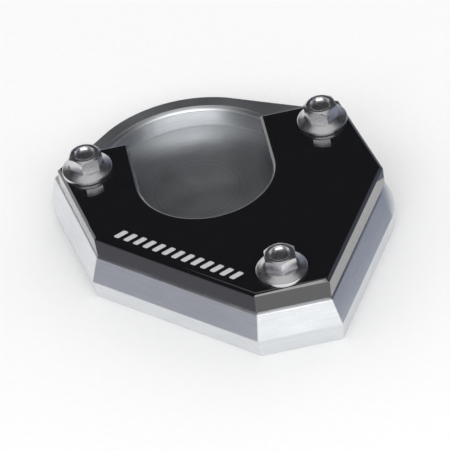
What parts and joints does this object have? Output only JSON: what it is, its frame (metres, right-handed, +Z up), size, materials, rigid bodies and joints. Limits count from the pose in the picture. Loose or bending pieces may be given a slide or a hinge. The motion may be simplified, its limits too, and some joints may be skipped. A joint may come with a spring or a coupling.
{
  "type": "kickstand foot enlarger",
  "caption": "Wide bolt-on foot for a motorbike side stand: a thick silver base with a pocket for the stand's own foot, under a black clamp cover with an open slot for the leg.",
  "frame": {"origin": "on the ground, under the centre of the slot's round end, where the stand's leg comes down", "axes": "+Z up from the ground, +Y to the open rear of the slot, +X to the right seen from the nose"},
  "size_m": [0.089, 0.0961, 0.025],
  "materials": {
    "base": "fine milled and clear anodised, satin",
    "cover": "black anodised, polished to a gloss",
    "bolt": "bright stainless steel"
  },
  "bodies": {
    "root": {"base_plate": "base", "top_cover": "cover", "left_bolt": "bolt", "right_bolt": "bolt", "front_bolt": "bolt"}
  },
  "joints": []
}
